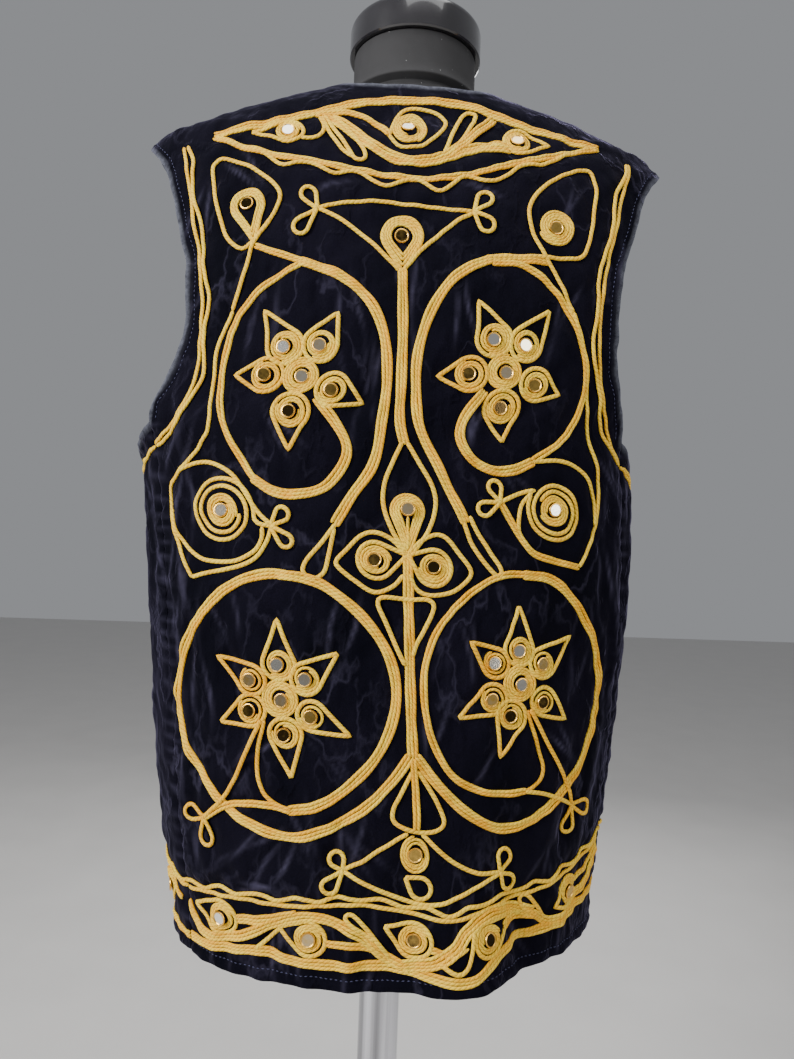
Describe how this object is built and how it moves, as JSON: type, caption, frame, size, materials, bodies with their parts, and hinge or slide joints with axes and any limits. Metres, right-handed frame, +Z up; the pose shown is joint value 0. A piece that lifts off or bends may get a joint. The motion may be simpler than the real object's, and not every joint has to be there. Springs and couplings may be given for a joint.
{
  "type": "embroidered vest on dress form",
  "caption": "Open-fronted sleeveless velvet vest with gold cord embroidery, hanging on a limbless dress form with a pole and a round base.",
  "frame": {"origin": "on the floor, under the middle of the pole, on the underside of the round base", "axes": "+Z up along the pole; +X towards the wearer's right; the back of the vest faces -Y and its open front faces +Y"},
  "size_m": [0.4758, 0.34, 1.457],
  "materials": {
    "velvet": "dark navy cotton velvet",
    "gold_cord": "couched twisted golden-yellow cord",
    "form_shell": "matte near-black, faintly cloth-like",
    "cap_plastic": "satin black",
    "pole_steel": "polished",
    "base_enamel": "satin black enamel"
  },
  "bodies": {
    "root": {"back_panel": "velvet", "front_left": "velvet", "front_right": "velvet", "armhole_band_back_left": "gold_cord", "armhole_band_back_right": "gold_cord", "armhole_band_front_left": "gold_cord", "armhole_band_front_right": "gold_cord", "edge_band_left": "gold_cord", "edge_band_right": "gold_cord", "hem_band_back_lower": "gold_cord", "hem_band_back_upper": "gold_cord", "hem_band_front_left_lower": "gold_cord", "hem_band_front_left_upper": "gold_cord", "hem_band_front_right_lower": "gold_cord", "hem_band_front_right_upper": "gold_cord", "oval_inner_left": "gold_cord", "oval_inner_right": "gold_cord", "oval_outer_left": "gold_cord", "oval_outer_right": "gold_cord", "ring_left": "gold_cord", "ring_right": "gold_cord", "rosette_corner_left": "gold_cord", "rosette_corner_right": "gold_cord", "rosette_hem_1": "gold_cord", "rosette_hem_2": "gold_cord", "rosette_hem_3": "gold_cord", "rosette_hem_4": "gold_cord", "rosette_hem_5": "gold_cord", "rosette_low": "gold_cord", "rosette_spiral_left": "gold_cord", "rosette_spiral_right": "gold_cord", "rosette_top": "gold_cord", "rosette_trefoil_left": "gold_cord", "rosette_trefoil_right": "gold_cord", "rosette_trefoil_top": "gold_cord", "rosette_yoke_centre": "gold_cord", "rosette_yoke_left": "gold_cord", "rosette_yoke_right": "gold_cord", "spine_band_lower": "gold_cord", "spine_band_upper": "gold_cord", "star_front_left": "gold_cord", "star_front_right": "gold_cord", "star_lower_left": "gold_cord", "star_lower_right": "gold_cord", "star_upper_left": "gold_cord", "star_upper_right": "gold_cord", "yoke_band_lower": "gold_cord", "yoke_band_upper": "gold_cord", "form_torso": "form_shell", "form_cap": "cap_plastic", "pole": "pole_steel", "base": "base_enamel"}
  },
  "joints": []
}
